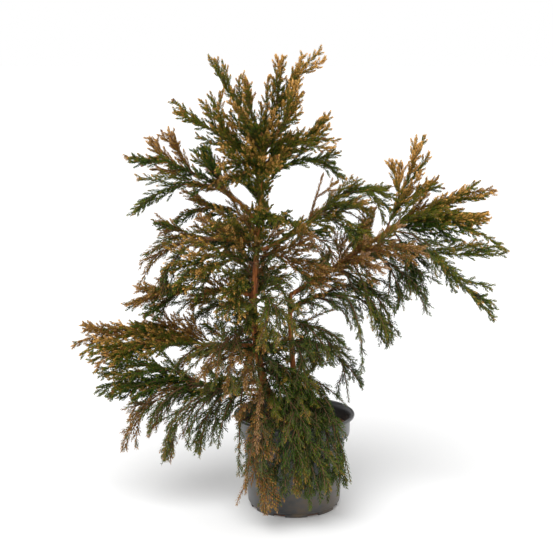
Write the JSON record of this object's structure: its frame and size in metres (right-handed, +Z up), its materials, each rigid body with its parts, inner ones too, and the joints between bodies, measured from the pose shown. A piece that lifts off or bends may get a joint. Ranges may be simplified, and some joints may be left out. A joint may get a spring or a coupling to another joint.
{
  "type": "young cryptomeria in a nursery pot",
  "caption": "Young irregular cryptomeria conifer with drooping needled shoots, golden at the tips, growing in a round black plastic nursery pot of compost.",
  "frame": {"origin": "middle of the pot's flat underside, at floor level", "axes": "+Z up, +X to the right as pictured, -Y toward the side that was pictured"},
  "size_m": [0.9045, 0.4826, 0.9583],
  "materials": {
    "pot": "satin black moulded plastic",
    "compost": "rough moist bark compost",
    "bark": "rough reddish-brown fibrous bark",
    "foliage": "matt green needles with golden and russet shoots"
  },
  "bodies": {
    "root": {"pot": "pot", "compost": "compost", "trunk": "bark", "second_stem": "bark", "left_high_bough": "bark", "left_second_bough": "bark", "left_third_bough": "bark", "left_long_bough": "bark", "left_low_bough": "bark", "curtain_bough": "bark", "arch_bough": "bark", "right_main_bough": "bark", "right_low_bough": "bark", "back_right_bough": "bark", "crown_leader": "foliage", "crown_middle": "foliage", "crown_left_leader": "foliage", "crown_left": "foliage", "crown_right_fan": "foliage", "crown_right": "foliage", "crown_arch": "foliage", "crown_front": "foliage", "crown_back": "foliage", "left_high": "foliage", "left_high_droop": "foliage", "left_high_green": "foliage", "left_second_top": "foliage", "left_second": "foliage", "left_second_low": "foliage", "left_second_front": "foliage", "left_third": "foliage", "left_long": "foliage", "left_long_low": "foliage", "left_low": "foliage", "left_low_droop": "foliage", "curtain_left": "foliage", "curtain_right": "foliage", "arch_top": "foliage", "arch_upright": "foliage", "arch_under": "foliage", "right_upright": "foliage", "right_outer": "foliage", "right_lower": "foliage", "right_under": "foliage", "right_front": "foliage", "low_right": "foliage", "low_middle": "foliage", "back_right": "foliage", "foot_right": "foliage", "low_reach": "foliage", "centre_left": "foliage", "centre_front": "foliage", "centre_right": "foliage", "skirt_left": "foliage", "skirt_middle": "foliage", "skirt_right": "foliage", "back_high": "foliage", "back_middle": "foliage", "back_low_left": "foliage", "back_foot": "foliage"}
  },
  "joints": []
}
